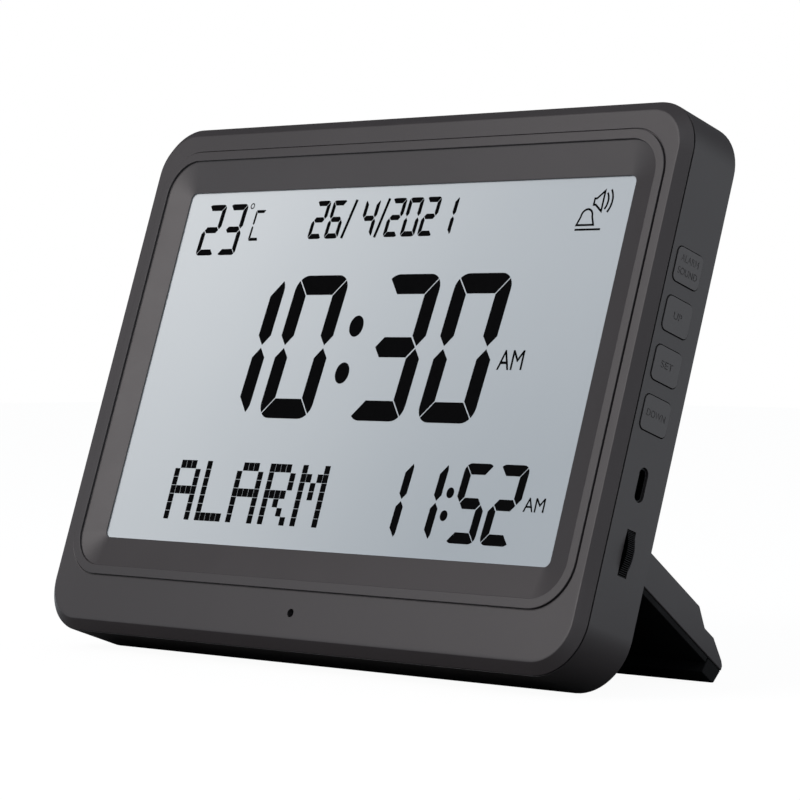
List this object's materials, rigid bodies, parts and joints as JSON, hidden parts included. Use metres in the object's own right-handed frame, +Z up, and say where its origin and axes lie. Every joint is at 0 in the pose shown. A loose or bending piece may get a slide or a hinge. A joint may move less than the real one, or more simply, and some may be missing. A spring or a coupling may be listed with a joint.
{
  "type": "digital desk clock",
  "caption": "Slim leaning desk clock: wide display in a sloped surround, side buttons, charging socket, volume wheel and a fold-out rear stand.",
  "frame": {"origin": "on the table, at the middle of the footprint of the leaning clock with its stand open", "axes": "+Z up, +X to the clock's right as seen from the front, the display faces -Y and leans back by 18.5 degrees"},
  "size_m": [0.2113, 0.0688, 0.1546],
  "materials": {
    "case_plastic": "fine spark texture, semi-matt",
    "dark_plastic": "black moulded",
    "rubber_black": "soft matt",
    "foam_black": "closed-cell foam",
    "foam_pale": "closed-cell foam",
    "display_film": "anti-glare film",
    "display_glass": "clear",
    "clear_acrylic": "clear",
    "white_plastic": "plain",
    "steel": "plated",
    "brass": "plain",
    "circuit_board": "solder mask",
    "component_blue": "sleeved",
    "plunger_red": "moulded",
    "cell_foil": "laminated foil",
    "lead_red": "insulated wire"
  },
  "bodies": {
    "case": {"front_frame": "case_plastic", "display_gasket": "foam_pale", "front_polariser": "display_film", "front_glass": "display_glass", "rear_glass": "display_glass", "rear_polariser": "display_film", "light_guide": "clear_acrylic", "reflector_sheet": "white_plastic", "backlight_strip": "white_plastic", "display_carrier": "white_plastic", "carrier_screws": "steel", "contact_strip": "rubber_black", "main_board": "circuit_board", "board_screws": "steel", "board_chips": "dark_plastic", "board_capacitors": "component_blue", "board_connectors": "white_plastic", "temperature_sensor": "component_blue", "button_switches": "dark_plastic", "usb_socket": "steel", "usb_tongue": "dark_plastic", "volume_control": "dark_plastic", "speaker_frame": "dark_plastic", "speaker_cone": "dark_plastic", "speaker_magnet": "steel", "speaker_gasket": "foam_black", "microphone": "steel", "microphone_boot": "dark_plastic", "microphone_pins": "steel", "battery_cell": "cell_foil", "battery_pad": "foam_black", "battery_lead": "lead_red", "speaker_lead": "lead_red", "rear_housing": "case_plastic", "case_screws": "steel", "hinge_pins": "steel", "hinge_washers": "brass"},
    "stand": {"stand_flap": "case_plastic", "stand_cover": "dark_plastic", "stand_foot": "rubber_black"},
    "alarm_key": {"alarm_button": "case_plastic", "alarm_plunger": "plunger_red"},
    "up_key": {"up_button": "case_plastic", "up_plunger": "plunger_red"},
    "set_key": {"set_button": "case_plastic", "set_plunger": "plunger_red"},
    "down_key": {"down_button": "case_plastic", "down_plunger": "plunger_red"},
    "volume_dial": {"volume_wheel": "dark_plastic", "wheel_screw": "steel"}
  },
  "joints": [
    {"name": "stand_fold", "type": "hinge", "parent": "case", "child": "stand", "pos_m": [0, 0.00055, 0.03347], "axis": [1, 0, 0], "range_deg": [0, 108.4]},
    {"name": "alarm_press", "type": "slide", "parent": "case", "child": "alarm_key", "axis": [-1, 0, 0], "range_m": [0, 0.0005], "stiffness_N_per_m": 3000, "springref_m": -0.0003},
    {"name": "up_press", "type": "slide", "parent": "case", "child": "up_key", "axis": [-1, 0, 0], "range_m": [0, 0.0005], "stiffness_N_per_m": 3000, "springref_m": -0.0003},
    {"name": "set_press", "type": "slide", "parent": "case", "child": "set_key", "axis": [-1, 0, 0], "range_m": [0, 0.0005], "stiffness_N_per_m": 3000, "springref_m": -0.0003},
    {"name": "down_press", "type": "slide", "parent": "case", "child": "down_key", "axis": [-1, 0, 0], "range_m": [0, 0.0005], "stiffness_N_per_m": 3000, "springref_m": -0.0003},
    {"name": "volume_turn", "type": "hinge", "parent": "case", "child": "volume_dial", "pos_m": [0.0938, -0.01355, 0.03671], "axis": [0, 0.9483, -0.3173], "range_deg": [-135, 135]}
  ]
}
